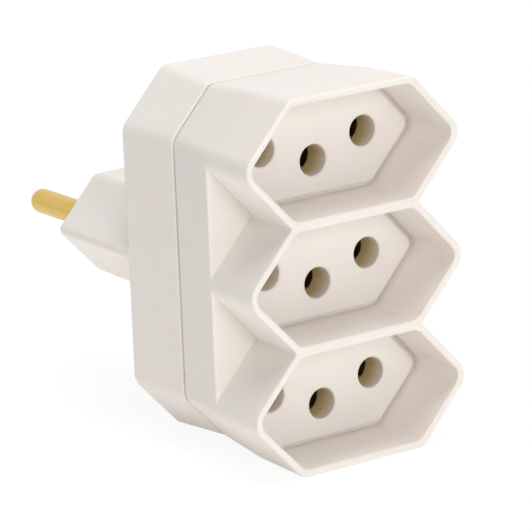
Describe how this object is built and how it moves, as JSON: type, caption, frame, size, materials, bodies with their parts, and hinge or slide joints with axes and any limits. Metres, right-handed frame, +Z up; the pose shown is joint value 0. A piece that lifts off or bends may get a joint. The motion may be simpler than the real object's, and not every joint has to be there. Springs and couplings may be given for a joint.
{
  "type": "multi socket adapter",
  "caption": "Plug-in adapter with a hexagonal plug on round pins at the back and stacked hexagonal sockets on the front.",
  "frame": {"origin": "middle of the plug's end face, between the line and neutral pins", "axes": "+Y along the pins away from the body, +Z up the stack of sockets, sockets face -Y"},
  "size_m": [0.0394, 0.0752, 0.0586],
  "materials": {
    "housing": "satin moulded off-white",
    "pin_brass": "bright turned",
    "strip_brass": "stamped sheet"
  },
  "bodies": {
    "root": {"front_housing": "housing", "rear_housing": "housing", "line_pin": "pin_brass", "neutral_pin": "pin_brass", "earth_pin": "pin_brass", "line_busbar": "strip_brass", "neutral_busbar": "strip_brass", "earth_busbar": "strip_brass", "line_contact_top": "strip_brass", "line_contact_middle": "strip_brass", "line_contact_bottom": "strip_brass", "neutral_contact_top": "strip_brass", "neutral_contact_middle": "strip_brass", "neutral_contact_bottom": "strip_brass", "earth_contact_top": "strip_brass", "earth_contact_middle": "strip_brass", "earth_contact_bottom": "strip_brass", "contact_rivets": "strip_brass"}
  },
  "joints": []
}
